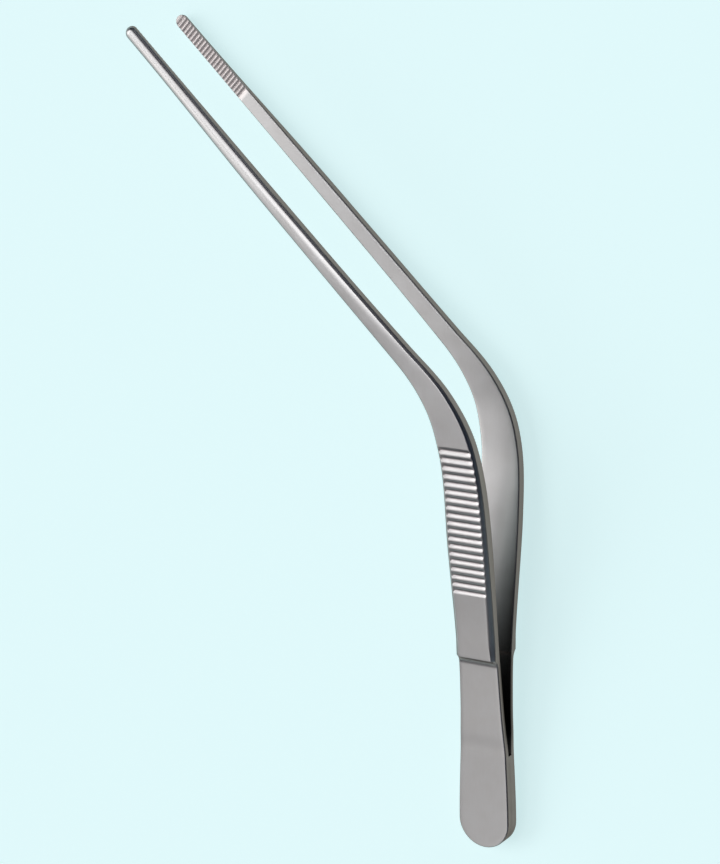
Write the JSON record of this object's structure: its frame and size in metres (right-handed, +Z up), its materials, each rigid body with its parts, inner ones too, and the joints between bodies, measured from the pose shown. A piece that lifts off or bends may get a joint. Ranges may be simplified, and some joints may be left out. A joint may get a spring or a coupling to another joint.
{
  "type": "thumb forceps",
  "caption": "Angled thumb forceps: two forged satin steel limbs joined at the heel, ridged thumb grips, bent elbow, long narrow jaws with toothed inner faces.",
  "frame": {"origin": "the middle of the bounding box in plan, on the surface that the forceps lie on", "axes": "+Y runs from the heel towards the jaws, the elbow bends towards -X, and +Z is up, from the lower limb to the upper limb"},
  "size_m": [0.0642, 0.128, 0.0168],
  "materials": {
    "satin_steel": "satin"
  },
  "bodies": {
    "root": {"limb_upper": "satin_steel", "limb_lower": "satin_steel"}
  },
  "joints": []
}
